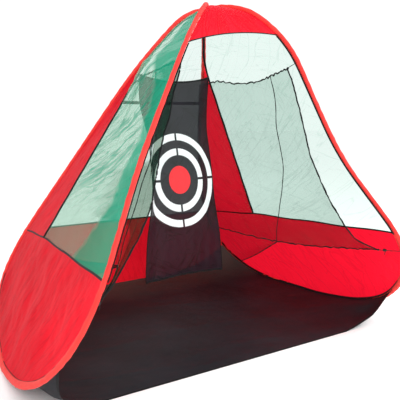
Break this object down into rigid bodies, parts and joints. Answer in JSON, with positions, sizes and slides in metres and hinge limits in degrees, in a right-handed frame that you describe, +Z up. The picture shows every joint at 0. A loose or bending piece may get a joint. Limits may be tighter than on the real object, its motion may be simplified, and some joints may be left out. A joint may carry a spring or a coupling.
{
  "type": "golf chipping net",
  "caption": "Free-standing pop-up golf chipping net with two leaning sprung hoops, mesh walls, solid skirts, side catch nets and a hanging ring target.",
  "frame": {"origin": "on the ground at the middle of the footprint, on the plane of symmetry", "axes": "+X to the right as the player faces the open front, +Y to the back, +Z up"},
  "size_m": [2.543, 2.0894, 2.115],
  "materials": {
    "spring_steel": "drawn spring wire, hidden in the sleeves",
    "ferrule": "crimped",
    "red_sleeve": "plain woven polyester",
    "red_fabric": "plain woven polyester, slightly shiny",
    "green_mesh": "fine knitted mesh",
    "header_fabric": "plain woven polyester",
    "black_tape": "ribbed binding tape",
    "black_cord": "braided cord",
    "black_plastic": "moulded",
    "webbing": "woven webbing",
    "black_fabric": "plain woven polyester",
    "target_fabric": "plain woven polyester with printed rings"
  },
  "bodies": {
    "left_wing": {"left_hoop_wire": "spring_steel", "left_wire_ferrule": "ferrule", "left_front_sleeve": "red_sleeve", "left_base_sleeve": "red_sleeve", "left_rear_sleeve": "red_sleeve", "left_wing_mesh": "green_mesh", "left_wing_wedge": "red_fabric", "left_wing_skirt": "red_fabric", "left_wedge_tape": "black_tape", "left_skirt_tape": "black_tape", "left_front_tape": "black_tape", "left_catch_net_front": "green_mesh", "left_catch_net_rear": "green_mesh", "left_catch_net_gusset": "green_mesh", "left_net_top_tie": "black_cord", "left_net_low_tie": "black_cord", "left_cord_lock": "black_plastic", "left_target_tie": "black_cord", "crossing_cover": "red_sleeve", "header_panel": "header_fabric", "rear_mesh": "green_mesh", "rear_skirt": "red_fabric", "rear_skirt_tape": "black_tape", "rear_strap": "webbing", "floor_sheet": "black_fabric", "floor_front_hem": "black_tape"},
    "right_wing": {"right_hoop_wire": "spring_steel", "right_wire_ferrule": "ferrule", "right_front_sleeve": "red_sleeve", "right_base_sleeve": "red_sleeve", "right_rear_sleeve": "red_sleeve", "right_wing_mesh": "green_mesh", "right_wing_wedge": "red_fabric", "right_wing_skirt": "red_fabric", "right_wedge_tape": "black_tape", "right_skirt_tape": "black_tape", "right_front_tape": "black_tape", "right_catch_net_front": "green_mesh", "right_catch_net_rear": "green_mesh", "right_catch_net_gusset": "green_mesh", "right_net_top_tie": "black_cord", "right_net_low_tie": "black_cord", "right_cord_lock": "black_plastic", "right_target_tie": "black_cord"},
    "target": {"target_sheet": "target_fabric", "target_top_hem": "black_tape", "target_bottom_hem": "black_tape"}
  },
  "joints": [
    {"name": "wing_fold", "type": "hinge", "parent": "left_wing", "child": "right_wing", "pos_m": [0, -0.331, 2.1], "axis": [0, 1, 0], "range_deg": [0, 50], "stiffness_Nm_per_rad": 4, "springref_deg": -5.73, "deforming": ["header_panel", "rear_mesh", "rear_skirt", "rear_skirt_tape", "rear_strap", "floor_sheet", "floor_front_hem", "left_catch_net_front", "left_catch_net_rear", "left_catch_net_gusset", "right_catch_net_front", "right_catch_net_rear", "right_catch_net_gusset", "target_sheet", "target_top_hem", "target_bottom_hem"]},
    {"name": "target_swing", "type": "hinge", "parent": "left_wing", "child": "target", "pos_m": [0, 0.058, 1.718], "axis": [1, 0, 0], "range_deg": [-35, 30]}
  ]
}
